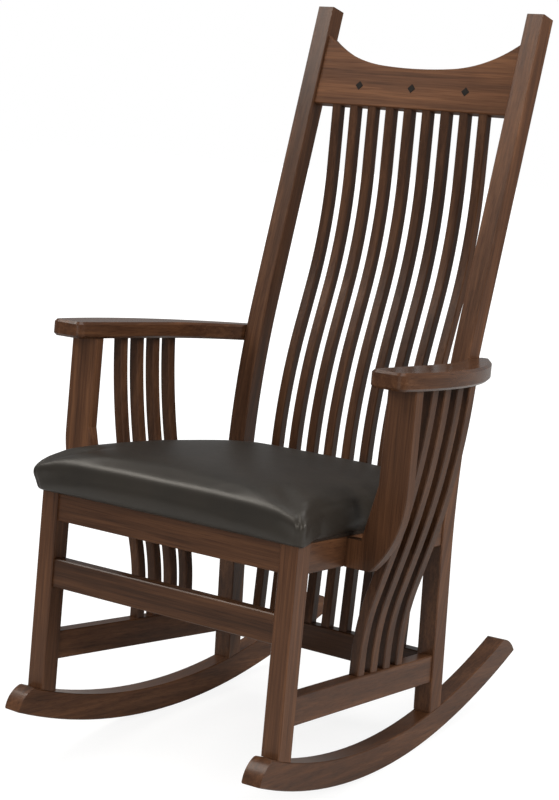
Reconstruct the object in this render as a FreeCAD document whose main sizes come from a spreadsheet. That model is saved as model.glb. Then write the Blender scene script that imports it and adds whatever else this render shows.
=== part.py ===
import FreeCAD, Part
import math
import os
from collections import namedtuple

import Sketcher

# A mission rocking chair with bent slats, tenoned joints and two curved runners.
# Every piece is drawn upright on the bench: X to the right seen from the front, Y to the back, Z up,
# with y = 0 at the front legs' faces and z = 0 at the lowest point of the runner arcs.
# The placement of each piece then tips the chair back to its resting angle on the floor.

doc = FreeCAD.newDocument("mission_rocker")
sheet = doc.addObject("Spreadsheet::Sheet", "Sizes")


class Size:
    """A number together with the sheet expression that drives it."""

    def __init__(self, value, text):
        self.value = value
        self.text = text

    def __add__(self, other):
        other = as_size(other)
        return Size(self.value + other.value, f"({self.text} + {other.text})")

    def __sub__(self, other):
        other = as_size(other)
        return Size(self.value - other.value, f"({self.text} - {other.text})")

    def __mul__(self, other):
        other = as_size(other)
        return Size(self.value * other.value, f"{self.text} * {other.text}")

    def __truediv__(self, other):
        other = as_size(other)
        return Size(self.value / other.value, f"{self.text} / ({other.text})")

    def __radd__(self, other):
        return as_size(other) + self

    def __rsub__(self, other):
        return as_size(other) - self

    def __rmul__(self, other):
        return as_size(other) * self

    def __neg__(self):
        return Size(-self.value, f"(-1 * {self.text})")


def as_size(entry):
    return entry if isinstance(entry, Size) else Size(float(entry), f"({float(entry)})")


def sine(angle):
    return Size(math.sin(math.radians(angle.value)), f"sin({angle.text})")


def cosine(angle):
    return Size(math.cos(math.radians(angle.value)), f"cos({angle.text})")


def tangent(angle):
    return Size(math.tan(math.radians(angle.value)), f"tan({angle.text})")


def root(square):
    return Size(math.sqrt(square.value), f"sqrt({square.text})")


sheet_rows = []


def size(name, value):
    """Writes one driving size to the sheet under its own alias."""
    sheet_rows.append(name)
    row = len(sheet_rows)
    sheet.set(f"A{row}", name)
    sheet.set(f"B{row}", str(value))
    sheet.setAlias(f"B{row}", name)
    return Size(float(value), f"Sizes.{name}")


# Resting angle and runners
rest_tilt = size("rest_tilt", 7.5)
runner_radius = size("runner_radius", 940)
runner_centre = size("runner_centre_y", 237)
runner_depth = size("runner_depth", 43)
nose_reach = size("nose_reach", 45)
nose_round = size("nose_round", 30)
nose_radius = size("nose_radius", 42)
tail_reach = size("tail_reach", 247)
tail_arc_radius = size("tail_arc_radius", 1280)
tail_round = size("tail_round", 44)
tail_radius = size("tail_radius", 58)
glue_line = size("glue_line", 0.3)

# Legs and back posts
leg = size("leg_section", 33)
front_half = size("front_half_width", 252)
rear_half = size("rear_half_width", 227)
foot_y = size("post_foot_y", 452)
post_lean = size("post_lean", 3)
post_rake = size("post_rake", 12.8)
bend_height = size("post_bend_height", 513)
bend_radius = size("post_bend_radius", 1400)
post_top = size("post_top", 1215)
edge_ease = size("edge_ease", 1.6)

# Seat frame and stretchers
frame_top = size("seat_frame_top", 395)
rail_height = size("rail_height", 47)
rail_thick = size("rail_thickness", 24)
rail_setback = size("rail_setback", 4)
stretcher_height = size("stretcher_height", 45.5)
low_stretcher_top = size("low_stretcher_top", 165)
front_stretcher_top = size("front_stretcher_top", 287)

# Joints
tenon_length = size("tenon_length", 18)
tenon_thick = size("tenon_thickness", 10)
tenon_shoulder = size("tenon_shoulder", 6)
foot_tenon = size("foot_tenon_width", 17)
foot_tenon_depth = size("foot_tenon_depth", 20)
tenon_root = size("tenon_root", 4)
tenon_parting = size("tenon_parting", 1)
joint_gap = size("joint_clearance", 0.2)

# Crest rail
crest_bottom = size("crest_bottom", 1047)
crest_recess = size("crest_recess", 5)
crest_thick = size("crest_thickness", 22)
crest_middle = size("crest_middle_height", 70)
scoop_radius = size("crest_scoop_radius", 790)
horn_start = size("crest_horn_start", 70)
horn_radius = size("crest_horn_radius", 235)
inlay_half = size("inlay_half_diagonal", 7.5)
inlay_pitch = size("inlay_pitch", 107)
inlay_height = size("inlay_height", 35)
inlay_depth = size("inlay_depth", 5)
inlay_proud = size("inlay_proud", 0.6)

# Back slats
slat_width = size("back_slat_width", 17)
slat_thick = size("back_slat_thickness", 17)
slat_pitch = size("back_slat_pitch", 37)
slat_lean = size("back_slat_foot_lean", 2.45)
slat_bend = size("back_slat_bend_height", 452)
slat_low_radius = size("back_slat_low_radius", 838)
slat_slope = size("back_slat_slope", 17)
slat_high_radius = size("back_slat_high_radius", 703)
slat_stub = size("slat_stub_width", 9)
slat_stub_depth = size("slat_stub_depth", 11)

# Side slats
side_slat_wide = size("side_slat_width", 18)
side_slat_thick = size("side_slat_thickness", 18)
side_slat_first = size("side_slat_first_y", 216)
side_slat_pitch = size("side_slat_pitch", 38.6)
side_slat_top = size("side_slat_top_x", 300)
side_slat_lean = size("side_slat_foot_lean", 1)
side_slat_bend = size("side_slat_bend_height", 192)
side_slat_low_radius = size("side_slat_low_radius", 380)
side_slat_slope = size("side_slat_slope", 17)
side_slat_high_radius = size("side_slat_high_radius", 1080)
side_slat_head_lean = size("side_slat_head_lean", 3.5)

# Arms and their supports
arm_bottom = size("arm_bottom", 627)
arm_thick = size("arm_thickness", 27)
arm_front = size("arm_front_y", 91)
arm_rear = size("arm_rear_y", 503)
arm_inner_front = size("arm_front_inner_x", 283)
arm_width = size("arm_front_width", 61)
arm_outer_radius = size("arm_outer_radius", 543)
arm_tail_width = size("arm_tail_width", 13)
arm_waist_y = size("arm_waist_y", 300)
arm_waist_x = size("arm_waist_x", 271)
arm_sweep_y = size("arm_sweep_end_y", 446)
arm_sweep_radius = size("arm_sweep_radius", 420)
arm_corner = size("arm_corner_radius", 14)
arm_edge = size("arm_edge_bevel", 4)
support_front = size("support_front_y", 138)
support_thick = size("support_thickness", 21)
support_inner = size("support_inner_x", 288)
support_width = size("support_width", 51)
support_curve_top = size("support_curve_top", 470)
support_radius = size("support_radius", 168)
support_throat = size("support_throat_z", 480)
support_step_x = size("support_step_x", 266)
support_step = size("support_step_drop", 3)
dowel_radius = size("dowel_radius", 5)
dowel_half = size("dowel_half_length", 17)
dowel_y = size("dowel_y", 473)

# Seat
board_thick = size("seat_board_thickness", 8)
board_inset = size("seat_board_inset", 2)
board_rear = size("seat_board_rear_y", 424)
cover_wall = size("cover_wall", 1.6)
core_width = size("foam_core_width", 78)
core_pitch = size("foam_core_pitch", 86)
core_depth = size("foam_core_depth", 28)
deep_core = size("foam_deep_core_depth", 44)
cushion_front = size("cushion_front_overhang", 19)
cushion_side = size("cushion_side_overhang", 10)
cushion_height = size("cushion_side_height", 46)
cushion_crown = size("cushion_crown", 27)
cushion_draw = size("cushion_side_draw", 7.6)
cushion_post_gap = size("cushion_post_gap", 3)
soft_gap = size("cushion_clearance", 0.4)
block_height = size("corner_block_height", 30)
block_width = size("corner_block_width", 45)
block_offset = size("corner_block_offset", 12)

doc.recompute()

# Shared positions
frame_bottom = frame_top - rail_height
frame_middle = frame_top - rail_height / 2
low_bottom = low_stretcher_top - stretcher_height
low_middle = low_stretcher_top - stretcher_height / 2
front_inner = front_half - leg
rear_inner = rear_half - leg
arm_top = arm_bottom + arm_thick

# The straight lower front face of a post, its bend and its raked upper face
vertex_y = foot_y - tangent(post_lean) * bend_height
bend_reach = bend_radius * tangent((post_lean + post_rake) / 2)
bend_low_y = vertex_y + bend_reach * sine(post_lean)
bend_low_z = bend_height - bend_reach * cosine(post_lean)
bend_high_y = vertex_y + bend_reach * sine(post_rake)
bend_high_z = bend_height + bend_reach * cosine(post_rake)
bend_centre_y = bend_low_y + bend_radius * cosine(post_lean)
bend_centre_z = bend_low_z + bend_radius * sine(post_lean)


def post_low_front(z):
    return foot_y - tangent(post_lean) * z


def post_bend_front(z):
    rise = z - bend_centre_z
    return bend_centre_y - root(bend_radius * bend_radius - rise * rise)


def post_high_front(z):
    return vertex_y + tangent(post_rake) * (z - bend_height)


# The frame narrows to the rear, so sides and runners follow a slanted line in plan
post_middle_y = post_low_front(low_middle) + leg / (2 * cosine(post_lean))
taper = (front_half - rear_half) / (post_middle_y - leg / 2)
stretch = root(1 + taper * taper)


def side_line(inset, y):
    return front_half - inset - taper * (y - leg / 2)


def runner_face(depth, y):
    """Height of the arc that lies the given depth above the runner's bottom arc."""
    reach = runner_radius - depth
    along = y - runner_centre
    return runner_radius - root(reach * reach - along * along)


rail_rear_y = post_bend_front(frame_middle) - joint_gap
rear_stretcher_y = post_middle_y
slat_foot_front = rear_stretcher_y - slat_thick / 2
crest_front_y = post_high_front(crest_bottom) + crest_recess / cosine(post_rake)
slat_top_front = crest_front_y + crest_thick / 2 * cosine(post_rake) - slat_thick / 2
rear_rail_back = slat_foot_front + tangent(slat_lean) * (frame_bottom - low_stretcher_top) - 0.5
rear_rail_front = rear_rail_back - rail_thick

Curve = namedtuple("Curve", "u v radius hollow")
Box = namedtuple("Box", "x y z")


class Station:
    """A sketch plane: an origin plane moved by a base and turned about one of its own axes."""

    def __init__(self, plane, base=(0, 0, 0), axis=None, angle=0):
        self.plane = plane
        self.base = [as_size(entry) for entry in base]
        self.axis = axis
        self.angle = as_size(angle)

    def shifted(self, depth):
        depth = as_size(depth)
        normal = [as_size(0), as_size(0), as_size(1)]
        if self.axis == "x":
            normal = [as_size(0), -sine(self.angle), cosine(self.angle)]
        moved = [entry + depth * part if part.value else entry for entry, part in zip(self.base, normal)]
        return Station(self.plane, moved, self.axis, self.angle)


def level(z):
    return Station("XY_Plane", (0, 0, z))


def upright(y):
    return Station("XZ_Plane", (0, 0, -as_size(y)))


def sideways(x):
    return Station("YZ_Plane", (0, 0, x))


crest_station = Station("XZ_Plane", (0, crest_bottom, -crest_front_y), "x", -post_rake)


def bind(target, prop, amount):
    if "Sizes." in amount.text:
        target.setExpression(prop, amount.text)


def new_body(label):
    """A body that stands on the bench and is tipped back about the floor contact line."""
    body = doc.addObject("PartDesign::Body", label)
    body.Label = label
    base_y = -(runner_centre * cosine(rest_tilt) + runner_radius * sine(rest_tilt))
    base_z = runner_radius + runner_centre * sine(rest_tilt) - runner_radius * cosine(rest_tilt)
    turn = FreeCAD.Rotation(FreeCAD.Vector(-1, 0, 0), rest_tilt.value)
    body.Placement = FreeCAD.Placement(FreeCAD.Vector(0, base_y.value, base_z.value), turn)
    bind(body, "Placement.Base.y", base_y)
    bind(body, "Placement.Base.z", base_z)
    bind(body, "Placement.Rotation.Angle", rest_tilt)
    return body


def new_sketch(body, station):
    sketch = body.newObject("Sketcher::SketchObject", "Sketch")
    plane = [entry for entry in body.Origin.OriginFeatures if entry.Role == station.plane][0]
    sketch.AttachmentSupport = [(plane, "")]
    sketch.MapMode = "FlatFace"
    base = FreeCAD.Vector(*[entry.value for entry in station.base])
    axis = FreeCAD.Vector(0, 1, 0) if station.axis == "y" else FreeCAD.Vector(1, 0, 0)
    flip = -1 if station.angle.value < 0 else 1
    turn = FreeCAD.Rotation(axis * flip, abs(station.angle.value))
    sketch.AttachmentOffset = FreeCAD.Placement(base, turn)
    for letter, entry in zip("xyz", station.base):
        bind(sketch, f"AttachmentOffset.Base.{letter}", entry)
    if station.axis:
        bind(sketch, "AttachmentOffset.Rotation.Angle", station.angle * flip)
    return sketch


def fix(sketch, kind, amount, *where):
    number = sketch.addConstraint(Sketcher.Constraint(kind, *where, amount.value))
    bind(sketch, f"Constraints[{number}]", amount)


def outline(sketch, corners, side=1):
    """A closed outline; a Curve runs to the next corner as an arc, hollow ones bend to the left.

    side -1 mirrors the outline in the sketch's upright axis.
    """
    points = []
    for corner in corners:
        u = as_size(corner[0])
        points.append((u if side > 0 else -u, as_size(corner[1])))
    pieces = []
    for index, corner in enumerate(corners):
        start, end = points[index], points[(index + 1) % len(points)]
        first = FreeCAD.Vector(start[0].value, start[1].value, 0)
        last = FreeCAD.Vector(end[0].value, end[1].value, 0)
        if isinstance(corner, Curve):
            radius = as_size(corner.radius)
            chord = last - first
            rise = radius.value - math.sqrt(radius.value ** 2 - chord.Length ** 2 / 4)
            right = FreeCAD.Vector(chord.y, -chord.x, 0).normalize()
            bow = -side if corner.hollow else side
            middle = (first + last) / 2 + right * rise * bow
            number = sketch.addGeometry(Part.Arc(first, middle, last), False)
            fix(sketch, "Radius", radius, number)
        else:
            number = sketch.addGeometry(Part.LineSegment(first, last), False)
        begin = 1 if (sketch.getPoint(number, 1) - first).Length < 1e-6 else 2
        pieces.append((number, begin))
    for index, (number, begin) in enumerate(pieces):
        next_number, next_begin = pieces[(index + 1) % len(pieces)]
        sketch.addConstraint(Sketcher.Constraint("Coincident", number, 3 - begin, next_number, next_begin))
        fix(sketch, "DistanceX", points[index][0], -1, 1, number, begin)
        fix(sketch, "DistanceY", points[index][1], -1, 1, number, begin)


def ring(sketch, u, v, radius):
    u, v = as_size(u), as_size(v)
    centre = FreeCAD.Vector(u.value, v.value, 0)
    number = sketch.addGeometry(Part.Circle(centre, FreeCAD.Vector(0, 0, 1), radius.value), False)
    fix(sketch, "Radius", radius, number)
    fix(sketch, "DistanceX", u, -1, 1, number, 3)
    fix(sketch, "DistanceY", v, -1, 1, number, 3)


def pad(body, sketch, length, centred=False):
    feature = body.newObject("PartDesign::Pad", "Pad")
    feature.Profile = sketch
    feature.SideType = "Symmetric" if centred else "One side"
    feature.Length = length.value
    bind(feature, "Length", length)
    sketch.Visibility = False


def pocket(body, sketch, length, centred=False):
    """Cuts along the sketch normal, or to both sides of the sketch when centred."""
    feature = body.newObject("PartDesign::Pocket", "Pocket")
    feature.Profile = sketch
    feature.SideType = "Symmetric" if centred else "One side"
    feature.Reversed = True
    feature.Length = length.value
    bind(feature, "Length", length)
    sketch.Visibility = False


def span(side, near, far):
    """The x range between two distances from the middle, on the given side."""
    near, far = as_size(near), as_size(far)
    return (near, far) if side > 0 else (-far, -near)


def around(middle, width):
    return middle - width / 2, middle + width / 2


def corners_of(u, v):
    return [(u[0], v[0]), (u[1], v[0]), (u[1], v[1]), (u[0], v[1])]


def add_box(body, box):
    sketch = new_sketch(body, level(box.z[0]))
    outline(sketch, corners_of(box.x, box.y))
    pad(body, sketch, box.z[1] - box.z[0])


def cut_boxes(body, boxes):
    """Mortises for tenons of one height range, wider by the joint clearance all round."""
    sketch = new_sketch(body, level(boxes[0].z[0] - joint_gap))
    for box in boxes:
        wide = [(low - joint_gap, high + joint_gap) for low, high in (box.x, box.y)]
        outline(sketch, corners_of(*wide))
    pocket(body, sketch, boxes[0].z[1] - boxes[0].z[0] + 2 * joint_gap)


def edge_names(body, chosen):
    doc.recompute()
    edges = body.Tip.Shape.Edges
    return [f"Edge{index + 1}" for index, edge in enumerate(edges) if chosen(edge)]


def bevel_edges(body, chosen, amount):
    names = edge_names(body, chosen)
    base = body.Tip
    feature = body.newObject("PartDesign::Chamfer", "Bevel")
    feature.Base = (base, names)
    feature.Size = amount.value
    bind(feature, "Size", amount)


def ease(body, least):
    """Eases every edge that is longer than the given length."""
    bevel_edges(body, lambda edge: edge.Length > least.value, edge_ease)


def round_edges(body, chosen, radius):
    names = edge_names(body, chosen)
    base = body.Tip
    feature = body.newObject("PartDesign::Fillet", "Round")
    feature.Base = (base, names)
    feature.Radius = radius.value
    bind(feature, "Radius", radius)


# Joints shared by two pieces, each described once
def front_rail_tenon(side):
    x = span(side, front_inner - tenon_root, front_inner + tenon_length)
    y = around(rail_setback + rail_thick / 2, tenon_thick)
    return Box(x, y, (frame_middle + tenon_parting, frame_top - tenon_shoulder))


def front_stretcher_tenon(side):
    x = span(side, front_inner - tenon_root, front_inner + tenon_length)
    y = around(rail_setback + rail_thick / 2, tenon_thick)
    bottom = front_stretcher_top - stretcher_height
    return Box(x, y, (bottom + tenon_shoulder, front_stretcher_top - tenon_shoulder))


def rear_rail_tenon(side):
    x = span(side, rear_inner - tenon_root, rear_inner + tenon_length)
    y = around(rear_rail_front + rail_thick / 2, tenon_thick)
    return Box(x, y, (frame_middle + tenon_parting, frame_top - tenon_shoulder))


def rear_stretcher_tenon(side):
    x = span(side, rear_inner - tenon_root, rear_inner + tenon_length)
    y = around(rear_stretcher_y, tenon_thick)
    return Box(x, y, (low_middle + tenon_parting, low_stretcher_top - tenon_shoulder))


def side_tenon(side, at_rear, bottom, middle, rear_y):
    """A tenon in the lower half of a side rail or side stretcher, at one of its ends."""
    end = rear_y if at_rear else leg
    centre = side_line(rail_setback + rail_thick / 2, end)
    near, far = around(centre, tenon_thick)
    y = (leg - tenon_length, leg + tenon_root)
    if at_rear:
        y = (rear_y - tenon_root, rear_y + tenon_length)
    return Box(span(side, near, far), y, (bottom + tenon_shoulder, middle - tenon_parting))


def side_rail_tenon(side, at_rear):
    return side_tenon(side, at_rear, frame_bottom, frame_middle, rail_rear_y)


def side_stretcher_tenon(side, at_rear):
    return side_tenon(side, at_rear, low_bottom, low_middle, post_low_front(low_middle))


def foot_box(side, outer, y):
    """The tenon that stands in a runner under a leg or post."""
    top = runner_face(runner_depth, y)
    x = span(side, outer - leg / 2 - foot_tenon / 2, outer - leg / 2 + foot_tenon / 2)
    return Box(x, around(y, foot_tenon), (top - foot_tenon_depth, top + 3 * tenon_root))


post_foot_z = runner_face(runner_depth, foot_y)
post_foot_y = post_low_front(post_foot_z) + leg / (2 * cosine(post_lean))


def foot_boxes(side):
    return foot_box(side, front_half, leg / 2), foot_box(side, rear_half, post_foot_y)


def back_slat_x(index):
    return around(slat_pitch * (index - 4), slat_width)


def back_slat_foot(index):
    x = around(slat_pitch * (index - 4), slat_stub)
    y = around(rear_stretcher_y, slat_stub)
    return Box(x, y, (low_stretcher_top - slat_stub_depth, low_stretcher_top + tenon_root))


def back_slat_head(index):
    x = around(slat_pitch * (index - 4), slat_stub)
    y = around(slat_top_front + slat_thick / 2, slat_stub)
    under = crest_bottom - crest_thick / 2 * sine(post_rake)
    return Box(x, y, (under - 2 * tenon_root, under + slat_stub_depth))


def side_slat_y(index):
    return side_slat_first + side_slat_pitch * index


def side_slat_foot_x(index):
    middle = side_slat_y(index) + side_slat_wide / 2
    return side_line(rail_setback + rail_thick / 2, middle) - side_slat_thick / 2


def side_slat_head_x(index):
    return side_slat_top - taper * side_slat_pitch * index


def side_slat_stub(side, index, inner, z):
    near, far = around(inner + side_slat_thick / 2, slat_stub)
    y = around(side_slat_y(index) + side_slat_wide / 2, slat_stub)
    return Box(span(side, near, far), y, z)


def side_slat_foot(side, index):
    z = (low_stretcher_top - slat_stub_depth, low_stretcher_top + tenon_root)
    return side_slat_stub(side, index, side_slat_foot_x(index), z)


def side_slat_head(side, index):
    z = (arm_bottom - tenon_root, arm_bottom + slat_stub_depth)
    return side_slat_stub(side, index, side_slat_head_x(index), z)


def support_tenon(side):
    near, far = around(support_inner + support_width / 2, support_width / 2)
    y = around(support_front + support_thick / 2, tenon_thick)
    return Box(span(side, near, far), y, (arm_bottom - tenon_root, arm_bottom + slat_stub_depth))


sides = {"left": -1, "right": 1}
back_slats = range(9)
side_slats = range(4)


def make_runner(name, side):
    """An arc of even depth that flattens behind the post, with a rounded nose and tail.

    It lies in an upright plane that follows the narrowing frame.
    """
    body = new_body(f"{name}_runner")
    centre_x = side_line(leg / 2, as_size(0))
    turn = Size(math.degrees(math.atan(taper.value)), f"atan({taper.text})")
    base = (0, 0, centre_x if side > 0 else -centre_x)
    sketch = new_sketch(body, Station("YZ_Plane", base, "y", turn * side))
    tip = -nose_reach
    join = foot_y + 1.5 * leg
    tail = foot_y + leg + tail_reach

    def on_arc(radius, centre, y, depth):
        reach = radius - depth
        along = y * stretch - centre[0]
        return y * stretch, centre[1] - root(reach * reach - along * along)

    main_centre = (runner_centre * stretch, runner_radius)
    join_low = on_arc(runner_radius, main_centre, join, as_size(0))
    join_sine = (join_low[0] - main_centre[0]) / runner_radius
    join_cosine = root(1 - join_sine * join_sine)
    tail_centre = (join_low[0] - tail_arc_radius * join_sine, join_low[1] + tail_arc_radius * join_cosine)
    join_high = (join_low[0] - runner_depth * join_sine, join_low[1] + runner_depth * join_cosine)
    nose_low = on_arc(runner_radius, main_centre, tip, as_size(0))
    nose_high = on_arc(runner_radius, main_centre, tip + nose_round, runner_depth)
    tail_low = on_arc(tail_arc_radius, tail_centre, tail, as_size(0))
    tail_high = on_arc(tail_arc_radius, tail_centre, tail - tail_round, runner_depth)
    outline(sketch, [
        Curve(*nose_low, runner_radius, False),
        Curve(*join_low, tail_arc_radius, False),
        Curve(*tail_low, tail_radius, False),
        Curve(*tail_high, tail_arc_radius - runner_depth, True),
        Curve(*join_high, runner_radius - runner_depth, True),
        Curve(*nose_high, nose_radius, False),
    ])
    pad(body, sketch, leg, centred=True)
    ease(body, 3 * leg)
    front, rear = foot_boxes(side)
    cut_boxes(body, [front])
    cut_boxes(body, [rear])


def make_front_leg(name, side):
    body = new_body(f"{name}_front_leg")
    x = span(side, front_inner, front_half)
    sketch = new_sketch(body, sideways(x[0]))
    rest = runner_depth + glue_line
    outline(sketch, [
        Curve(as_size(0), runner_face(rest, as_size(0)), runner_radius - rest, False),
        (leg, runner_face(rest, leg)),
        (leg, frame_top),
        (as_size(0), frame_top),
    ])
    pad(body, sketch, leg)
    ease(body, 3 * leg)
    add_box(body, foot_boxes(side)[0])
    cut_boxes(body, [front_rail_tenon(side)])
    cut_boxes(body, [front_stretcher_tenon(side)])
    cut_boxes(body, [side_rail_tenon(side, False)])
    cut_boxes(body, [side_stretcher_tenon(side, False)])


def crest_tenon_rect(side, gap):
    u = span(side, rear_inner - tenon_root, rear_inner + tenon_length + gap)
    v = (2 * tenon_shoulder - gap, crest_middle + gap)
    return u, v


def make_post(name, side):
    """A back post, straight below, bent through one arc and raked above."""
    body = new_body(f"{name}_back_post")
    x = span(side, rear_inner, rear_half)
    sketch = new_sketch(body, sideways(x[0]))
    rest = runner_depth + glue_line
    front_foot = post_low_front(runner_face(rest, foot_y))
    depth_y = leg / cosine(post_lean)
    rear_foot = post_low_front(runner_face(rest, foot_y + depth_y)) + depth_y
    low_back = (bend_low_y + leg * cosine(post_lean), bend_low_z + leg * sine(post_lean))
    high_back = (bend_high_y + leg * cosine(post_rake), bend_high_z - leg * sine(post_rake))
    top_front = post_high_front(post_top)
    outline(sketch, [
        Curve(front_foot, runner_face(rest, front_foot), runner_radius - rest, False),
        (rear_foot, runner_face(rest, rear_foot)),
        Curve(*low_back, bend_radius - leg, True),
        high_back,
        (top_front + leg * cosine(post_rake), post_top - leg * sine(post_rake)),
        (top_front, post_top),
        Curve(bend_high_y, bend_high_z, bend_radius, False),
        (bend_low_y, bend_low_z),
    ])
    pad(body, sketch, leg)
    ease(body, 3 * leg)
    add_box(body, foot_boxes(side)[1])
    cut_boxes(body, [rear_rail_tenon(side)])
    cut_boxes(body, [rear_stretcher_tenon(side)])
    cut_boxes(body, [side_rail_tenon(side, True)])
    cut_boxes(body, [side_stretcher_tenon(side, True)])
    mortise = new_sketch(body, crest_station.shifted(-(crest_thick + tenon_thick) / 2 - joint_gap))
    outline(mortise, corners_of(*crest_tenon_rect(side, joint_gap)))
    pocket(body, mortise, tenon_thick + 2 * joint_gap)
    bore_dowel(body, side)


def bore_dowel(body, side):
    x = span(side, rear_half - dowel_half - joint_gap, rear_half + dowel_half + joint_gap)
    sketch = new_sketch(body, sideways(x[0]))
    ring(sketch, dowel_y, arm_bottom + arm_thick / 2, dowel_radius + joint_gap)
    pocket(body, sketch, x[1] - x[0])


def make_cross_rail(label, half, y, z, tenon, mortises=()):
    """A rail or stretcher that runs across between two uprights."""
    body = new_body(label)
    add_box(body, Box((-half, half), y, z))
    ease(body, 3 * leg)
    for side in sides.values():
        add_box(body, tenon(side))
    if mortises:
        cut_boxes(body, mortises)


def make_side_rail(name, side):
    body = new_body(f"{name}_side_rail")
    sketch = new_sketch(body, level(frame_bottom))
    inner = rail_setback + rail_thick
    outline(sketch, [
        (side_line(inner, leg), leg),
        (side_line(rail_setback, leg), leg),
        (side_line(rail_setback, rail_rear_y), rail_rear_y),
        (side_line(inner, rail_rear_y), rail_rear_y),
    ], side)
    pad(body, sketch, rail_height)
    ease(body, 3 * leg)
    add_box(body, side_rail_tenon(side, False))
    add_box(body, side_rail_tenon(side, True))


def make_side_stretcher(name, side):
    """A low stretcher whose rear end is cut to the lean of the post."""
    body = new_body(f"{name}_side_stretcher")
    sketch = new_sketch(body, level(low_bottom))
    inner = rail_setback + rail_thick
    rear = post_low_front(low_bottom) + tenon_root
    outline(sketch, [
        (side_line(inner, leg), leg),
        (side_line(rail_setback, leg), leg),
        (side_line(rail_setback, rear), rear),
        (side_line(inner, rear), rear),
    ], side)
    pad(body, sketch, stretcher_height)
    ease(body, 3 * leg)
    trim = new_sketch(body, sideways(as_size(0)))
    low, high = low_bottom - leg, low_stretcher_top + leg
    outline(trim, [
        (post_low_front(low) - joint_gap, low),
        (post_low_front(low) + 2 * leg, low),
        (post_low_front(low) + 2 * leg, high),
        (post_low_front(high) - joint_gap, high),
    ])
    pocket(body, trim, 2 * front_half, centred=True)
    add_box(body, side_stretcher_tenon(side, False))
    add_box(body, side_stretcher_tenon(side, True))
    cut_boxes(body, [side_slat_foot(side, index) for index in side_slats])


def inlay_corners(gap):
    """The square inlays of the crest rail, each standing on a corner."""
    reach = inlay_half + gap * 1.42
    for column in (-1, 0, 1):
        x = inlay_pitch * column
        yield [
            (x - reach, inlay_height),
            (x, inlay_height - reach),
            (x + reach, inlay_height),
            (x, inlay_height + reach),
        ]


def make_crest():
    """The crest rail: a shallow scoop in the middle that sweeps up into a horn at each post."""
    body = new_body("crest_rail")
    sketch = new_sketch(body, crest_station.shifted(-crest_thick))
    start_sine = horn_start / scoop_radius
    end_sine = start_sine + (rear_inner - horn_start) / horn_radius
    start_cosine = root(1 - start_sine * start_sine)
    horn_foot = crest_middle + scoop_radius * (1 - start_cosine)
    horn_tip = horn_foot + horn_radius * (start_cosine - root(1 - end_sine * end_sine))
    outline(sketch, [
        (-rear_inner, 0),
        (rear_inner, 0),
        Curve(rear_inner, horn_tip, horn_radius, True),
        Curve(horn_start, horn_foot, scoop_radius, True),
        Curve(-horn_start, horn_foot, horn_radius, True),
        (-rear_inner, horn_tip),
    ])
    pad(body, sketch, crest_thick)

    def long_edge(edge):
        at_end = abs(edge.CenterOfMass.x) > rear_inner.value - 1
        return edge.Length > 2 * crest_thick.value and not at_end

    bevel_edges(body, long_edge, edge_ease)
    for side in sides.values():
        tenon = new_sketch(body, crest_station.shifted(-(crest_thick + tenon_thick) / 2))
        outline(tenon, corners_of(*crest_tenon_rect(side, as_size(0))))
        pad(body, tenon, tenon_thick)
    cut_boxes(body, [back_slat_head(index) for index in back_slats])
    seat = new_sketch(body, crest_station.shifted(-inlay_depth - joint_gap))
    for corners in inlay_corners(joint_gap):
        outline(seat, corners)
    pocket(body, seat, 2 * inlay_depth + joint_gap)


def make_inlays():
    body = new_body("crest_inlays")
    sketch = new_sketch(body, crest_station.shifted(-inlay_depth))
    for corners in inlay_corners(as_size(0)):
        outline(sketch, corners)
    pad(body, sketch, inlay_depth + inlay_proud)


def s_bend(foot, foot_z, lean, bend_z, low_radius, slope, high_radius, head_lean, thick,
           head, head_front, head_back):
    """Outline of a twice bent slat: leaning a little at foot and head, steeper between.

    The straight part between the bends takes up whatever the offset from foot to head leaves.
    """
    def offset(point, angle):
        return point[0] + thick * cosine(angle), point[1] - thick * sine(angle)

    first = (foot + tangent(lean) * (bend_z - foot_z), bend_z)
    second = (
        first[0] + low_radius * (cosine(lean) - cosine(slope)),
        first[1] + low_radius * (sine(slope) - sine(lean)),
    )
    bend_out = high_radius * (cosine(head_lean) - cosine(slope))
    bend_up = high_radius * (sine(slope) - sine(head_lean))
    head_out = tangent(head_lean) * (head_front - second[1] - bend_up)
    rest = (head - second[0] - bend_out - head_out) / (1 - tangent(head_lean) / tangent(slope))
    third = (second[0] + rest, second[1] + rest / tangent(slope))
    fourth = (third[0] + bend_out, third[1] + bend_up)
    far_head = head + thick / cosine(head_lean) + tangent(head_lean) * (head_back - head_front)
    return [
        (foot, foot_z),
        (foot + thick / cosine(lean), foot_z),
        Curve(*offset(first, lean), low_radius - thick, True),
        offset(second, slope),
        Curve(*offset(third, slope), high_radius + thick, False),
        offset(fourth, head_lean),
        (far_head, head_back),
        (head, head_front),
        Curve(*fourth, high_radius, True),
        third,
        Curve(*second, low_radius, False),
        first,
    ]


def make_back_slat(index):
    body = new_body(f"back_slat_{index + 1}")
    x = back_slat_x(index)
    sketch = new_sketch(body, sideways(x[0]))

    def under_crest(y):
        return crest_bottom - tangent(post_rake) * (y - crest_front_y) - joint_gap

    outline(sketch, s_bend(
        slat_foot_front, low_stretcher_top + joint_gap, slat_lean, slat_bend, slat_low_radius,
        slat_slope, slat_high_radius, as_size(0), slat_thick, slat_top_front,
        under_crest(slat_top_front), under_crest(slat_top_front + slat_thick)))
    pad(body, sketch, slat_width)
    ease(body, 1.2 * slat_thick)
    add_box(body, back_slat_foot(index))
    add_box(body, back_slat_head(index))


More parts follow.
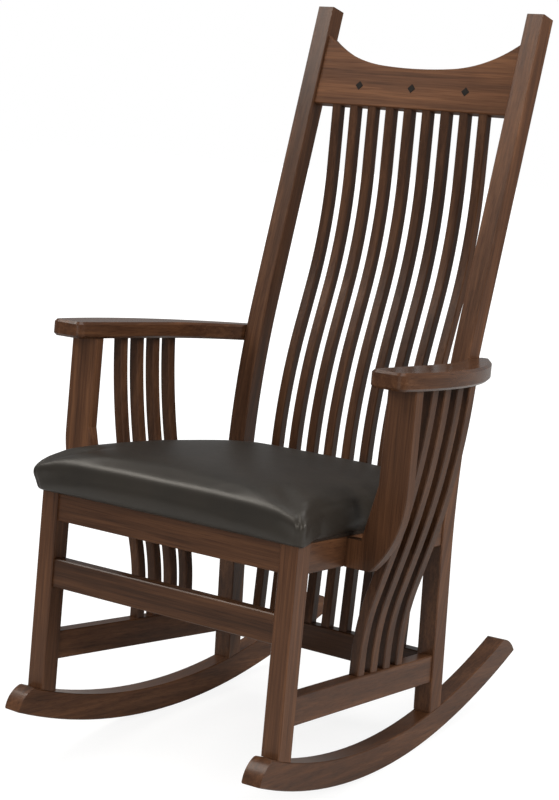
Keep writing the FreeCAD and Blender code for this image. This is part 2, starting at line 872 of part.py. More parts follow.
def make_side_slat(name, side, index):
    body = new_body(f"{name}_side_slat_{index + 1}")
    sketch = new_sketch(body, upright(side_slat_y(index) + side_slat_wide))
    head_z = arm_bottom - joint_gap
    outline(sketch, s_bend(
        side_slat_foot_x(index), low_stretcher_top + joint_gap, side_slat_lean, side_slat_bend,
        side_slat_low_radius, side_slat_slope, side_slat_high_radius, side_slat_head_lean,
        side_slat_thick, side_slat_head_x(index), head_z, head_z), side)
    pad(body, sketch, side_slat_wide)
    ease(body, 1.2 * side_slat_thick)
    add_box(body, side_slat_foot(side, index))
    add_box(body, side_slat_head(side, index))


def make_arm(name, side):
    """A flat arm with a bowed outer edge that sweeps in and ends along the outside of the post."""
    body = new_body(f"{name}_arm")
    sketch = new_sketch(body, level(arm_bottom))
    post_side = rear_half + joint_gap
    outline(sketch, [
        (arm_inner_front, arm_front),
        Curve(arm_inner_front + arm_width, arm_front, arm_outer_radius, False),
        (post_side + arm_tail_width, arm_rear),
        (post_side, arm_rear),
        Curve(post_side, arm_sweep_y, arm_sweep_radius, True),
        (arm_waist_x, arm_waist_y),
    ], side)
    pad(body, sketch, arm_thick)

    def front_corner(edge):
        return abs(edge.Length - arm_thick.value) < 0.01 and edge.CenterOfMass.y < arm_front.value + 1

    round_edges(body, front_corner, arm_corner)

    def rim(edge):
        middle = edge.CenterOfMass
        level_edge = min(abs(middle.z - arm_top.value), abs(middle.z - arm_bottom.value)) < 0.01
        against_post = abs(abs(middle.x) - post_side.value) < 0.01
        return level_edge and not against_post

    bevel_edges(body, rim, arm_edge)
    cut_boxes(body, [support_tenon(side)])
    cut_boxes(body, [side_slat_head(side, index) for index in side_slats])
    bore_dowel(body, side)


def make_arm_support(name, side):
    """A board under the arm, curved outside, stepped round the cushion and flat against the rail."""
    body = new_body(f"{name}_arm_support")
    sketch = new_sketch(body, upright(support_front + support_thick))
    rail_face = side_line(rail_setback, support_front) + joint_gap
    step_z = frame_top - support_step
    outer = support_inner + support_width
    fall = support_curve_top - frame_bottom
    toe = outer - support_radius + root(support_radius * support_radius - fall * fall)
    head_z = arm_bottom - joint_gap
    outline(sketch, [
        (rail_face, frame_bottom),
        Curve(toe, frame_bottom, support_radius, False),
        (outer, support_curve_top),
        (outer, head_z),
        (support_inner, head_z),
        (support_inner, support_throat),
        (support_step_x, step_z),
        (rail_face, step_z),
    ], side)
    pad(body, sketch, support_thick)
    ease(body, 1.2 * support_width)
    add_box(body, support_tenon(side))


def make_dowels():
    body = new_body("arm_dowels")
    for side in sides.values():
        x = span(side, rear_half - dowel_half, rear_half + dowel_half)
        sketch = new_sketch(body, sideways(x[0]))
        ring(sketch, dowel_y, arm_bottom + arm_thick / 2, dowel_radius)
        pad(body, sketch, x[1] - x[0])


block_top = frame_top - joint_gap


def corner_block_plans():
    """Plans of the four diagonal blocks inside the seat frame."""
    inner = rail_setback + rail_thick
    front_face = rail_setback + rail_thick + joint_gap
    rear_face = rear_rail_front - joint_gap
    for face, inner_x, turn in ((front_face, front_inner, 1), (rear_face, rear_inner, -1)):
        near_x = inner_x - block_offset
        reach = side_line(inner, face) - near_x
        side_near = face + turn * reach
        side_far = side_near + turn * block_width
        plan = [
            (near_x - block_width, face),
            (near_x, face),
            (side_line(inner, side_near) - joint_gap, side_near),
            (side_line(inner, side_far) - joint_gap, side_far),
        ]
        for side in sides.values():
            yield plan, side


def make_corner_blocks():
    body = new_body("corner_blocks")
    sketch = new_sketch(body, level(block_top - block_height))
    for plan, side in corner_block_plans():
        outline(sketch, plan, side)
    pad(body, sketch, block_height)


def board_plan(grow):
    front = rail_setback + board_inset - grow
    rear = board_rear + grow
    reach = board_inset - grow
    return [
        (-side_line(reach, front), front),
        (side_line(reach, front), front),
        (side_line(reach, rear), rear),
        (-side_line(reach, rear), rear),
    ]


def make_seat_board():
    body = new_body("seat_board")
    sketch = new_sketch(body, level(frame_top))
    outline(sketch, board_plan(as_size(0)))
    pad(body, sketch, board_thick)


def cushion_section(body, y, half, bottom, shoulder, rim, crown):
    """One cross section: flat below, crowned on top, drawn in above and below its sides.

    rim is its share of the full side height.
    """
    inner = half - cushion_draw * rim
    slope = cushion_height * rim / 4
    top_radius = (inner * inner + crown * crown) / (2 * crown)
    sketch = new_sketch(body, upright(y))
    outline(sketch, [
        (-inner, bottom),
        (inner, bottom),
        (half, bottom + slope),
        (half, shoulder - slope),
        Curve(inner, shoulder, top_radius, False),
        (-inner, shoulder),
        (-half, shoulder - slope),
        (-half, bottom + slope),
    ])
    return sketch


def loft(body, sections, kind):
    feature = body.newObject(f"PartDesign::{kind}", "Loft")
    feature.Profile = sections[0]
    feature.Sections = sections[1:]
    feature.Ruled = True
    for section in sections:
        section.Visibility = False


def cushion_form(body, wall, floor, kind):
    """The crowned form, drawn in round its rim, with a tongue that reaches between the posts.

    wall moves the form inwards; floor is the height of its flat underside.
    """
    front = wall - cushion_front
    rear = post_bend_front(frame_top) - cushion_post_gap - wall
    middle = (front + rear) / 2
    shoulder = frame_top + soft_gap + cushion_height - wall
    tongue_half = rear_inner - cushion_post_gap - wall
    tongue_end = rear_rail_back - cushion_post_gap - wall

    def sections(rows, half_at):
        for start, along, inset, lift, drop, share in rows:
            y = start + cushion_height * along
            yield cushion_section(
                body, y, half_at(y) - cushion_height * inset, floor + cushion_height * lift,
                shoulder - cushion_height * drop, 1 - lift - drop, cushion_crown * share)

    # Each row, in shares of the side height: a start along Y and the way from it, the inset of the rim,
    # the lift of the underside, the drop of the shoulder; last comes the share of the crown
    main = [
        (front, 0, 0.09, 0.08, 0.36, 0.36),
        (front, 0.5, 0, 0, 0.18, 0.66),
        (front, 2.4, 0, 0, 0, 0.9),
        (middle, 0, 0, 0, 0, 1),
        (rear, -1.3, 0, 0, 0.04, 0.95),
        (rear, 0, 0.05, 0.05, 0.22, 0.62),
    ]
    tongue = [
        (rear, -0.65, 0, 0.02, 0, 0.5),
        (tongue_end, 0, 0.04, 0.05, 0.18, 0.42),
    ]
    loft(body, list(sections(main, lambda y: side_line(wall - cushion_side, y))), kind)
    loft(body, list(sections(tongue, lambda y: tongue_half)), kind)


board_top = frame_top + board_thick + soft_gap


def make_seat_cover():
    """The leather cover: a shell over the foam that is drawn down round the edge of the board."""
    body = new_body("seat_cover")
    cushion_form(body, as_size(0), frame_top + soft_gap, "AdditiveLoft")
    cushion_form(body, cover_wall, board_top, "SubtractiveLoft")
    seat = new_sketch(body, level(frame_top - board_thick))
    outline(seat, board_plan(soft_gap))
    pocket(body, seat, board_top - frame_top + board_thick)


def cut_cores(body, columns, rows, depth):
    sketch = new_sketch(body, level(board_top - soft_gap))
    for column in columns:
        for row in rows:
            x = around(core_pitch * (column - 2), core_width)
            y = around(board_rear / 2 + core_pitch * (row - 1.5), core_width)
            outline(sketch, corners_of(x, y))
    pocket(body, sketch, depth + soft_gap)


def make_seat_foam():
    """The moulded foam, cored from below so that it stays light, deepest under the crown."""
    body = new_body("seat_foam")
    cushion_form(body, cover_wall + soft_gap, board_top, "AdditiveLoft")
    cut_cores(body, range(5), range(4), core_depth)
    cut_cores(body, range(1, 4), range(1, 3), deep_core)


for name, side in sides.items():
    make_runner(name, side)
    make_front_leg(name, side)
    make_post(name, side)
    make_side_rail(name, side)
    make_side_stretcher(name, side)
    make_arm(name, side)
    make_arm_support(name, side)
    for index in side_slats:
        make_side_slat(name, side, index)

cross_y = (rail_setback, rail_setback + rail_thick)
make_cross_rail("front_seat_rail", front_inner, cross_y, (frame_bottom, frame_top), front_rail_tenon)
make_cross_rail("front_stretcher", front_inner, cross_y,
                (front_stretcher_top - stretcher_height, front_stretcher_top), front_stretcher_tenon)
make_cross_rail("rear_seat_rail", rear_inner, (rear_rail_front, rear_rail_back),
                (frame_bottom, frame_top), rear_rail_tenon)
make_cross_rail("rear_stretcher", rear_inner, around(rear_stretcher_y, rail_thick),
                (low_bottom, low_stretcher_top), rear_stretcher_tenon,
                [back_slat_foot(index) for index in back_slats])
make_crest()
make_inlays()
for index in back_slats:
    make_back_slat(index)
make_corner_blocks()
make_seat_board()
make_seat_cover()
make_seat_foam()
make_dowels()

doc.recompute()
for entry in doc.Objects:
    if "Invalid" in entry.State or "Error" in entry.State:
        raise RuntimeError(f"{entry.Label} did not recompute")

os.makedirs("parts", exist_ok=True)
for body in doc.findObjects("PartDesign::Body"):
    if body.Shape.isNull() or not body.Shape.isValid():
        raise RuntimeError(f"{body.Label} has no sound shape")
    body.Shape.exportStep(f"parts/{body.Label}.step")
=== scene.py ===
import math

import bmesh
import bpy
from mathutils import Euler, Matrix, Vector


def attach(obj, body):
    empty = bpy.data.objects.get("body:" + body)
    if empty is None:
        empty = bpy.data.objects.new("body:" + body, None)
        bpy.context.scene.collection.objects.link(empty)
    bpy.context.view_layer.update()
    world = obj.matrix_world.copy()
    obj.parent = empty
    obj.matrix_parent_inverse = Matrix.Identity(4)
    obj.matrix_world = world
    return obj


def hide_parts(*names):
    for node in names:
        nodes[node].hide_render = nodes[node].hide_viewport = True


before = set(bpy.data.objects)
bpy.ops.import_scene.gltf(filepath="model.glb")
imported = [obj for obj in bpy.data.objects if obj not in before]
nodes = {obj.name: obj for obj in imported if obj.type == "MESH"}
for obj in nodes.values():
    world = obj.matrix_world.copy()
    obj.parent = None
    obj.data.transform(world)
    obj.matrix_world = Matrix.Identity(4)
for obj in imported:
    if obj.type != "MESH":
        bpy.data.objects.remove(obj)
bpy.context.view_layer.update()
scene = bpy.context.scene
scene.view_settings.view_transform = "Standard"

# The chair leans back by this angle; bench coordinates are upright, in millimetres, as in the CAD source
TILT = math.radians(7.5)
RUNNER_RADIUS = 940.0
RUNNER_CENTRE = 237.0
BASE = Vector((
    0,
    -(RUNNER_CENTRE * math.cos(TILT) + RUNNER_RADIUS * math.sin(TILT)),
    RUNNER_RADIUS + RUNNER_CENTRE * math.sin(TILT) - RUNNER_RADIUS * math.cos(TILT),
))
TO_ROOM = Matrix.Scale(0.001, 4) @ Matrix.Translation(BASE) @ Matrix.Rotation(-TILT, 4, "X")
TO_BENCH = TO_ROOM.inverted()
QUARTER = math.pi / 2


# Helpers for shader nodes
def new_material(name):
    material = bpy.data.materials.new(name)
    material.use_nodes = True
    return material, material.node_tree, material.node_tree.nodes["Principled BSDF"]


def link(tree, source, target):
    tree.links.new(source, target)


def add_node(tree, kind, **inputs):
    node = tree.nodes.new(kind)
    for name, value in inputs.items():
        node.inputs[name.replace("_", " ")].default_value = value
    return node


def noise(tree, vector, scale, detail, roughness=0.5, distortion=0.0):
    node = add_node(tree, "ShaderNodeTexNoise", Scale=scale, Detail=detail, Roughness=roughness,
                    Distortion=distortion)
    link(tree, vector, node.inputs["Vector"])
    return node.outputs["Fac"]


def ramp(tree, factor, stops):
    node = tree.nodes.new("ShaderNodeValToRGB")
    elements = node.color_ramp.elements
    while len(elements) < len(stops):
        elements.new(0.5)
    for element, (place, colour) in zip(elements, stops):
        element.position = place
        element.color = (*colour, 1)
    link(tree, factor, node.inputs["Fac"])
    return node.outputs["Color"]


def math_node(tree, operation, first, second):
    node = tree.nodes.new("ShaderNodeMath")
    node.operation = operation
    for socket, entry in zip(node.inputs, (first, second)):
        if isinstance(entry, (int, float)):
            socket.default_value = entry
        else:
            link(tree, entry, socket)
    return node.outputs["Value"]


def scaled(tree, value, factor, added):
    return math_node(tree, "ADD", math_node(tree, "MULTIPLY", value, factor), added)


def blended(tree, first, first_share, second, second_share):
    return math_node(tree, "ADD", math_node(tree, "MULTIPLY", first, first_share),
                     math_node(tree, "MULTIPLY", second, second_share))


def set_bump(tree, shader, height, strength, distance):
    bump = add_node(tree, "ShaderNodeBump", Strength=strength, Distance=distance)
    link(tree, height, bump.inputs["Height"])
    link(tree, bump.outputs["Normal"], shader.inputs["Normal"])


# Stained wood: its three tones, and how often each layer of the grain repeats in a metre along and across it
DARK = (0.023, 0.0098, 0.0048)
BROWN = (0.057, 0.0242, 0.0112)
LIGHT = (0.108, 0.048, 0.0215)
BAND_REPEATS = (1.6, 34.0)
STREAK_REPEATS = (5.0, 210.0)
PORE_REPEATS = (14.0, 900.0)
BAND_SHARE = 0.55
STREAK_SHARE = 0.45
PORE_SHADE = (0.55, 0.5, 0.48)
PORE_STRENGTH = 0.75
WHITE = (1, 1, 1)
# How far the pieces differ: shift of the grain, brightness and roughness
PIECE_SHIFT = 7.0
TONE_RANGE = 0.3
TONE_LEAST = 0.85
ROUGH_RANGE = 0.18
WOOD_SPECULAR = 0.2
WOOD_COAT = 0.08
COAT_ROUGHNESS = 0.14
# Colour sockets of Blender's Mix node
MIX_FIRST, MIX_SECOND, MIX_RESULT = 6, 7, 2


def stained_wood(name, turn, tone, rough=0.36, shine=1.0):
    """Brown stained wood; turn brings the grain of the piece onto the texture's X axis."""
    material, tree, shader = new_material(name)
    place = tree.nodes.new("ShaderNodeTexCoord")
    each = tree.nodes.new("ShaderNodeObjectInfo")
    shift = tree.nodes.new("ShaderNodeVectorMath")
    shift.operation = "ADD"
    spread = math_node(tree, "MULTIPLY", each.outputs["Random"], PIECE_SHIFT)
    link(tree, place.outputs["Object"], shift.inputs[0])
    link(tree, spread, shift.inputs[1])
    align = tree.nodes.new("ShaderNodeMapping")
    align.inputs["Rotation"].default_value = turn
    link(tree, shift.outputs["Vector"], align.inputs["Vector"])

    def stretched(repeats):
        along, aside = repeats
        stretch = tree.nodes.new("ShaderNodeMapping")
        stretch.inputs["Scale"].default_value = (along, aside, aside)
        link(tree, align.outputs["Vector"], stretch.inputs["Vector"])
        return stretch.outputs["Vector"]

    bands = noise(tree, stretched(BAND_REPEATS), 1.0, 3.0, 0.55, 0.6)
    streaks = noise(tree, stretched(STREAK_REPEATS), 1.0, 4.0, 0.65, 0.2)
    pores = noise(tree, stretched(PORE_REPEATS), 1.0, 2.0, 0.6)
    mixed = blended(tree, bands, BAND_SHARE, streaks, STREAK_SHARE)
    dark, middle, light = [[tone * part for part in stain] for stain in (DARK, BROWN, LIGHT)]
    colour = ramp(tree, mixed, [(0.3, dark), (0.5, middle), (0.72, light)])
    pore_tone = ramp(tree, pores, [(0.34, PORE_SHADE), (0.5, WHITE)])
    tint = tree.nodes.new("ShaderNodeMix")
    tint.data_type = "RGBA"
    tint.blend_type = "MULTIPLY"
    tint.inputs[0].default_value = PORE_STRENGTH
    link(tree, colour, tint.inputs[MIX_FIRST])
    link(tree, pore_tone, tint.inputs[MIX_SECOND])
    vary = tree.nodes.new("ShaderNodeHueSaturation")
    link(tree, scaled(tree, each.outputs["Random"], TONE_RANGE, TONE_LEAST), vary.inputs["Value"])
    link(tree, tint.outputs[MIX_RESULT], vary.inputs["Color"])
    link(tree, vary.outputs["Color"], shader.inputs["Base Color"])
    link(tree, scaled(tree, streaks, ROUGH_RANGE, rough - ROUGH_RANGE / 2), shader.inputs["Roughness"])
    shader.inputs["Specular IOR Level"].default_value = WOOD_SPECULAR * shine
    shader.inputs["Coat Weight"].default_value = WOOD_COAT * shine
    shader.inputs["Coat Roughness"].default_value = COAT_ROUGHNESS
    set_bump(tree, shader, pores, 0.18, 0.0006)
    return material


# Leather: its two tones, and the fine cells and soft creases of its skin
LEATHER_DARK = (0.0085, 0.0068, 0.005)
LEATHER_LIGHT = (0.015, 0.0118, 0.0085)
LEATHER_TINT = (1.0, 0.97, 0.92, 1)
LEATHER_SPECULAR = 0.42
LEATHER_ROUGH = 0.39
CREASE_ROUGH = 0.08
CELL_SHARE = 0.6
CREASE_SHARE = 0.3


def leather_material():
    material, tree, shader = new_material("dark_leather")
    place = tree.nodes.new("ShaderNodeTexCoord")
    cells = add_node(tree, "ShaderNodeTexVoronoi", Scale=620.0)
    link(tree, place.outputs["Object"], cells.inputs["Vector"])
    cloudy = noise(tree, place.outputs["Object"], 9.0, 4.0, 0.6)
    creases = noise(tree, place.outputs["Object"], 75.0, 5.0, 0.6, 0.8)
    colour = ramp(tree, cloudy, [(0.3, LEATHER_DARK), (0.7, LEATHER_LIGHT)])
    link(tree, colour, shader.inputs["Base Color"])
    link(tree, scaled(tree, creases, CREASE_ROUGH, LEATHER_ROUGH), shader.inputs["Roughness"])
    shader.inputs["Specular IOR Level"].default_value = LEATHER_SPECULAR
    shader.inputs["Specular Tint"].default_value = LEATHER_TINT
    height = blended(tree, cells.outputs["Distance"], CELL_SHARE, creases, CREASE_SHARE)
    set_bump(tree, shader, height, 0.2, 0.0006)
    return material


# Unstained, painted and foam pieces: a fine speckle between two tones
SPECKLE_ROUGH = 0.15
PLAIN_SPECULAR = 0.1


def plain_material(name, dark, light, roughness):
    material, tree, shader = new_material(name)
    place = tree.nodes.new("ShaderNodeTexCoord")
    speckle = noise(tree, place.outputs["Object"], 160.0, 4.0, 0.6)
    link(tree, ramp(tree, speckle, [(0.3, dark), (0.7, light)]), shader.inputs["Base Color"])
    link(tree, scaled(tree, speckle, SPECKLE_ROUGH, roughness - 0.08), shader.inputs["Roughness"])
    shader.inputs["Specular IOR Level"].default_value = PLAIN_SPECULAR
    return material


def upright_grain(name, lean, tone):
    """Grain that runs up the piece, which leans by this angle on the bench."""
    turn = Matrix.Rotation(QUARTER, 3, "Y") @ Matrix.Rotation(TILT + math.radians(lean), 3, "X")
    return stained_wood(name, turn.to_euler(), tone)


across_chair = Euler((TILT, 0, 0))
along_side = (Matrix.Rotation(-QUARTER, 3, "Z") @ Matrix.Rotation(TILT, 3, "X")).to_euler()
leg_wood = upright_grain("wood_legs", 0, 1.25)
post_wood = upright_grain("wood_posts", 10, 1.25)
slat_wood = upright_grain("wood_slats", 7, 0.95)
cross_wood = stained_wood("wood_across", across_chair, 1.0)
crest_wood = stained_wood("wood_crest", across_chair, 1.55, rough=0.5, shine=0.35)
side_wood = stained_wood("wood_sides", along_side, 1.15)
arm_wood = stained_wood("wood_arms", along_side, 1.0, rough=0.24)
leather = leather_material()
inlay_wood = plain_material("black_inlay", (0.006, 0.005, 0.004), (0.012, 0.009, 0.007), 0.6)
pale_wood = plain_material("plain_wood", (0.2, 0.12, 0.06), (0.32, 0.2, 0.11), 0.6)
# The seat board is near black as painted shade: its colour stands for the shadow under the cushion
board_painted_shade = plain_material("board_in_painted_shade", (0.012, 0.008, 0.006), (0.024, 0.015, 0.01), 0.8)
foam = plain_material("foam", (0.6, 0.52, 0.35), (0.72, 0.64, 0.45), 0.9)


def material_for(name):
    if name == "crest_rail":
        return crest_wood
    if name == "crest_inlays":
        return inlay_wood
    if name == "seat_foam":
        return foam
    if name == "seat_board":
        return board_painted_shade
    if name in ("corner_blocks", "arm_dowels"):
        return pale_wood
    if name.endswith("_arm"):
        return arm_wood
    if "slat" in name:
        return slat_wood
    if "back_post" in name:
        return post_wood
    if "front_leg" in name or "arm_support" in name:
        return leg_wood
    if "side_" in name or "runner" in name:
        return side_wood
    return cross_wood


for name, node in nodes.items():
    node.data.materials.clear()
    node.data.materials.append(material_for(name))


# Leather cushion, in bench millimetres: its outline seen from above
SEAT_TOP = 395.6
FRONT_HALF = 252.0
SIDE_OUT = 10.0
FRONT_Y = -19.0
REAR_Y = 430.0
TONGUE_Y = 458.0
TONGUE_HALF = 191.0
TAPER = 25.0 / 445.0
TAPER_START_Y = 16.5
FRONT_RADIUS = 10.0
REAR_RADIUS = 9.0
OUTLINE_STEP = 12.0
# The front corners stand out a little from the sides
EAR_OUT = 8.0
EAR_END_Y = 42.0
# Height of the stuffed edge, low at the corners and lower to the rear, and of the crown
CORNER_HEIGHT = 25.0
EDGE_SWELL = 26.0
SWELL_LENGTH = 48.0
CORNER_FILL = 2.6
REAR_DROP = 0.2
MIDDLE = Vector((0, 215))
MIDDLE_HEIGHT = 76.0
CROWN_POWER = 4.2
# The leather hangs a little over the front of the seat frame and over its sides ahead of the arm supports
LIP_DROP = 9.0
LIP_FADE = 5.0
LIP_END_Y = 42.0
# Each ring of the rim: distance in from the outline, share of the edge height, share of the lip
RIM = [
    (34, 0, 0), (22, 0, 0.6), (14, 0, 1), (11, 0.03, 1), (9, 0.12, 0.7),
    (6.5, 0.3, 0), (3.8, 0.52, 0), (1.6, 0.72, 0), (0.2, 0.88, 0), (0.3, 0.98, 0),
    (2, 1.07, 0), (5.5, 1.14, 0), (10, 1.19, 0), (16, 1.22, 0),
]
# Each ring of the crown: share of the way from the rim to the middle
TOP_PULLS = (0.04, 0.09, 0.15, 0.22, 0.31, 0.42, 0.56, 0.72, 0.87)


def side_x(y):
    return FRONT_HALF + SIDE_OUT - TAPER * (y - TAPER_START_Y)


def arc_corner(points, centre, radius, start, steps=8):
    for step in range(steps + 1):
        angle = math.radians(start + 90 * step / steps)
        points.append((centre[0] + radius * math.cos(angle), centre[1] + radius * math.sin(angle)))


def cushion_plan():
    """Outline of the cushion seen from above, counter-clockwise, notched round the back posts."""
    points = []
    front_centre = (side_x(FRONT_Y) + EAR_OUT - FRONT_RADIUS, FRONT_Y + FRONT_RADIUS)
    arc_corner(points, front_centre, FRONT_RADIUS, -90)
    points.append((side_x(EAR_END_Y), EAR_END_Y))
    arc_corner(points, (side_x(REAR_Y) - REAR_RADIUS, REAR_Y - REAR_RADIUS), REAR_RADIUS, 0)
    arc_corner(points, (TONGUE_HALF - REAR_RADIUS, TONGUE_Y - REAR_RADIUS), REAR_RADIUS, 0)
    mirrored = [(-x, y) for x, y in reversed(points)]
    return points + mirrored


def evenly(points, spacing):
    """The closed outline with points added so that no step is longer than the spacing."""
    dense = []
    for index, start in enumerate(points):
        end = points[(index + 1) % len(points)]
        length = math.dist(start, end)
        steps = max(1, math.ceil(length / spacing))
        for step in range(steps):
            share = step / steps
            dense.append((start[0] + (end[0] - start[0]) * share, start[1] + (end[1] - start[1]) * share))
    return dense


def corner_distance(point):
    corners = [(side * side_x(y), y) for y in (FRONT_Y, REAR_Y) for side in (-1, 1)]
    return min(math.dist(point, corner) for corner in corners)


def edge_height(away):
    """Height of the stuffed edge this far from a corner: drawn down there, swelling between the corners."""
    return CORNER_HEIGHT + EDGE_SWELL * (1 - math.exp(-away / SWELL_LENGTH))


def rear_share(point):
    """The edge is lower towards the back of the seat."""
    return 1 - REAR_DROP * min(1.0, max(0.0, (point[1] - MIDDLE.y) / (REAR_Y - MIDDLE.y)))


def lip_drop(place):
    """How far the leather hangs below the top of the seat frame at this place."""
    if place.y > LIP_END_Y:
        return 0.0
    outside = max(-place.y, abs(place.x) - side_x(place.y) + SIDE_OUT)
    return LIP_DROP * min(1.0, max(0.0, outside / LIP_FADE))


def drawn_in(point, amount):
    """The point of the outline moved this far towards the middle, along and across the seat."""
    away = Vector(point) - MIDDLE
    return MIDDLE + Vector((away.x * (1 - amount / FRONT_HALF), away.y * (1 - amount / MIDDLE.y)))


def cushion_rings():
    """Rings of the outline from the underside, round the bulging rim and over the crown."""
    outline = evenly(cushion_plan(), OUTLINE_STEP)
    rings = []
    for inset, share, lip in RIM:
        ring = []
        fill = CORNER_FILL * inset if share > 1 else 0.0
        for point in outline:
            place = drawn_in(point, inset)
            height = edge_height(corner_distance(point) + fill) * rear_share(point)
            rise = share * height - lip * lip_drop(place)
            ring.append(Vector((place.x, place.y, SEAT_TOP + rise)))
        rings.append(ring)
    centre = Vector((MIDDLE.x, MIDDLE.y, SEAT_TOP + MIDDLE_HEIGHT))
    top_edge = rings[-1]
    for pull in TOP_PULLS:
        rise = 1 - (1 - pull) ** CROWN_POWER
        ring = []
        for start in top_edge:
            place = start.lerp(centre, pull)
            place.z = start.z + (centre.z - start.z) * rise
            ring.append(place)
        rings.append(ring)
    return rings


def cushion_mesh():
    shape = bmesh.new()
    loops = [[shape.verts.new(TO_ROOM @ point) for point in ring] for ring in cushion_rings()]
    count = len(loops[0])
    for lower, upper in zip(loops, loops[1:]):
        for index in range(count):
            after = (index + 1) % count
            shape.faces.new((lower[index], lower[after], upper[after], upper[index]))
    shape.faces.new(list(reversed(loops[0])))
    top = shape.verts.new(TO_ROOM @ Vector((MIDDLE.x, MIDDLE.y, SEAT_TOP + MIDDLE_HEIGHT)))
    for index in range(count):
        shape.faces.new((loops[-1][index], loops[-1][(index + 1) % count], top))
    mesh = bpy.data.meshes.new("leather_cushion")
    shape.to_mesh(mesh)
    shape.free()
    return mesh


# Cloth: mesh size and greatest movement in metres, and the height on the bench under which it is held
VOXEL = 0.005
PUFF_LIMIT = 0.004
HELD_BELOW = SEAT_TOP + 3
LAST_FRAME = 20
# Fold in the leather at the front corners, in bench millimetres
FOLD_WIDTH = 4.5
FOLD_DEPTH = 2.5
FOLD_REACH = 26.0
FOLD_POWER = 1.5


def apply_modifier(obj, modifier):
    bpy.ops.object.select_all(action="DESELECT")
    obj.select_set(True)
    bpy.context.view_layer.objects.active = obj
    bpy.ops.object.modifier_apply(modifier=modifier.name)


def even_mesh(obj):
    remesh = obj.modifiers.new("Remesh", "REMESH")
    remesh.mode = "VOXEL"
    remesh.voxel_size = VOXEL
    apply_modifier(obj, remesh)
    for polygon in obj.data.polygons:
        polygon.use_smooth = True


def soften(obj, iterations):
    relax = obj.modifiers.new("Smooth", "CORRECTIVE_SMOOTH")
    relax.iterations = iterations
    relax.use_only_smooth = True
    apply_modifier(obj, relax)


def subdivide(obj):
    smooth = obj.modifiers.new("Subdivide", "SUBSURF")
    smooth.levels = 1
    smooth.render_levels = 1
    apply_modifier(obj, smooth)


def puff_up(obj):
    """Lets the leather fill and settle over the foam; its underside is held to the board."""
    before = [vertex.co.copy() for vertex in obj.data.vertices]
    held = obj.vertex_groups.new(name="held")
    for vertex in obj.data.vertices:
        if (TO_BENCH @ vertex.co).z < HELD_BELOW:
            held.add([vertex.index], 1.0, "ADD")
    cloth = obj.modifiers.new("Cloth", "CLOTH")
    settings = cloth.settings
    settings.quality = 6
    settings.mass = 0.4
    settings.tension_stiffness = 30
    settings.compression_stiffness = 30
    settings.shear_stiffness = 12
    settings.bending_stiffness = 2.0
    settings.use_pressure = True
    settings.uniform_pressure_force = 3.0
    settings.effector_weights.gravity = 0
    settings.vertex_group_mass = "held"
    cloth.collision_settings.use_collision = False
    cloth.point_cache.frame_start = 1
    cloth.point_cache.frame_end = LAST_FRAME
    for number in range(1, LAST_FRAME + 1):
        scene.frame_set(number)
    apply_modifier(obj, cloth)
    scene.frame_set(1)
    for vertex, start in zip(obj.data.vertices, before):
        move = vertex.co - start
        if move.length > PUFF_LIMIT:
            vertex.co = start + move.normalized() * PUFF_LIMIT


def fold_corners(obj):
    """Presses the upright fold into the leather at each front corner."""
    for side in (-1, 1):
        corner = Vector((side * side_x(FRONT_Y), FRONT_Y))
        inward = Vector((-side, 1)).normalized()
        for vertex in obj.data.vertices:
            point = TO_BENCH @ vertex.co
            offset = Vector((point.x, point.y)) - corner
            depth = offset.dot(inward)
            aside = abs(offset.dot(Vector((inward.y, -inward.x))))
            if aside > FOLD_WIDTH or depth > FOLD_REACH:
                continue
            fade = min(1.0, 2 * (FOLD_REACH - depth) / FOLD_REACH)
            push = FOLD_DEPTH * fade * (1 - aside / FOLD_WIDTH) ** FOLD_POWER
            point.x += push * inward.x
            point.y += push * inward.y
            vertex.co = TO_ROOM @ point


cushion = bpy.data.objects.new("leather_cushion", cushion_mesh())
scene.collection.objects.link(cushion)
even_mesh(cushion)
soften(cushion, 4)
puff_up(cushion)
soften(cushion, 6)
subdivide(cushion)
fold_corners(cushion)
cushion.data.materials.append(leather)
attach(cushion, "root")
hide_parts("seat_cover", "seat_foam")


# Floor, room and light; the floor is white to the camera and shows the shadow near the chair
FLOOR_SIZE = 14
FLOOR_GREY = (0.6, 0.6, 0.6, 1)
FLOOR_GLOW = 1.24
SHADOW_REACH = 1.5
SHADOW_SHARE = 0.36
ROOM_LIGHT = 0.3
CAMERA_EXTRA = 0.7


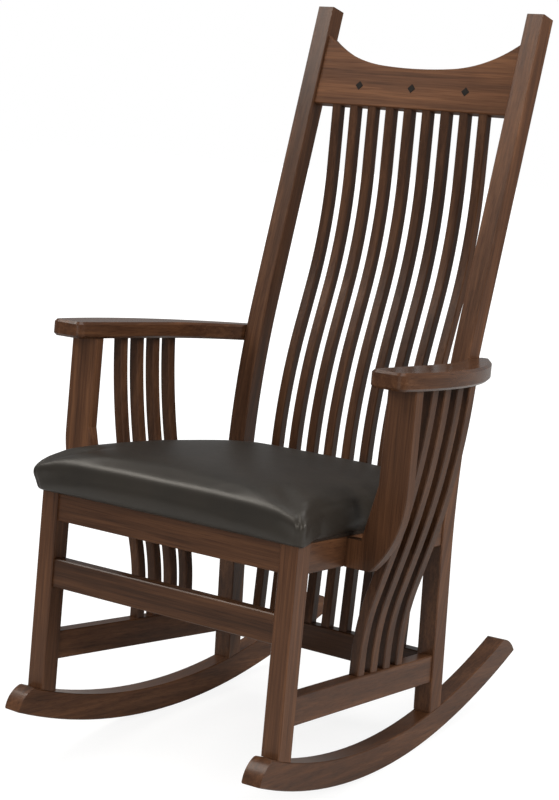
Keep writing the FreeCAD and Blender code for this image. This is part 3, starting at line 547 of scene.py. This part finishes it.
def stage_floor():
    bpy.ops.mesh.primitive_plane_add(size=FLOOR_SIZE, location=(0, 0, 0))
    floor = bpy.context.object
    floor.name = "floor"
    material, tree, shader = new_material("pale_floor")
    shader.inputs["Base Color"].default_value = FLOOR_GREY
    shader.inputs["Roughness"].default_value = 0.9
    glow = add_node(tree, "ShaderNodeEmission", Strength=FLOOR_GLOW)
    place = tree.nodes.new("ShaderNodeTexCoord")
    reach = add_node(tree, "ShaderNodeMapping", Scale=(1 / SHADOW_REACH,) * 3)
    link(tree, place.outputs["Object"], reach.inputs["Vector"])
    near = tree.nodes.new("ShaderNodeTexGradient")
    near.gradient_type = "SPHERICAL"
    link(tree, reach.outputs["Vector"], near.inputs["Vector"])
    path = tree.nodes.new("ShaderNodeLightPath")
    shadow = math_node(tree, "MULTIPLY", near.outputs["Fac"], SHADOW_SHARE)
    white = math_node(tree, "SUBTRACT", 1.0, shadow)
    share = math_node(tree, "MULTIPLY", path.outputs["Is Camera Ray"], white)
    mix = tree.nodes.new("ShaderNodeMixShader")
    link(tree, share, mix.inputs[0])
    link(tree, shader.outputs[0], mix.inputs[1])
    link(tree, glow.outputs[0], mix.inputs[2])
    link(tree, mix.outputs[0], tree.nodes["Material Output"].inputs["Surface"])
    floor.data.materials.append(material)


def room_world():
    world = bpy.data.worlds.new("room")
    scene.world = world
    world.use_nodes = True
    tree = world.node_tree
    background = tree.nodes["Background"]
    background.inputs["Color"].default_value = (*WHITE, 1)
    path = tree.nodes.new("ShaderNodeLightPath")
    strength = scaled(tree, path.outputs["Is Camera Ray"], CAMERA_EXTRA, ROOM_LIGHT)
    link(tree, strength, background.inputs["Strength"])


def softbox(name, place, target, width, height, watts, colour=WHITE):
    light = bpy.data.lights.new(name, "AREA")
    light.shape = "RECTANGLE"
    light.size = width
    light.size_y = height
    light.energy = watts
    light.color = colour
    lamp = bpy.data.objects.new(name, light)
    lamp.location = place
    lamp.rotation_euler = (Vector(target) - Vector(place)).to_track_quat("-Z", "Y").to_euler()
    scene.collection.objects.link(lamp)


stage_floor()
room_world()
softbox("left_light", (-1.9, -1.0, 3.1), (0, 0, 0.5), 2.0, 1.6, 80, (1.0, 0.96, 0.9))
softbox("front_light", (0.9, -3.3, 1.8), (0, 0, 0.6), 1.6, 1.5, 55, (1.0, 0.95, 0.88))
softbox("right_light", (3.0, 0.5, 1.9), (0, 0, 0.6), 1.4, 1.8, 84, (1.0, 0.97, 0.93))
softbox("top_light", (0.2, 0.6, 3.2), (0, 0, 0.5), 1.6, 1.6, 25)

# Camera at the photo's place; angles in degrees
CAMERA_PLACE = (1.9553, -2.6120, 1.28125)
CAMERA_TURN = (77.4263, -0.641, 37.2033)
lens = bpy.data.cameras.new("camera")
lens.sensor_width = 36
lens.lens = 93.35
lens.shift_x = 0.0008
lens.shift_y = 0.0025
camera = bpy.data.objects.new("camera", lens)
camera.location = CAMERA_PLACE
camera.rotation_euler = Euler([math.radians(angle) for angle in CAMERA_TURN])
scene.collection.objects.link(camera)
scene.camera = camera
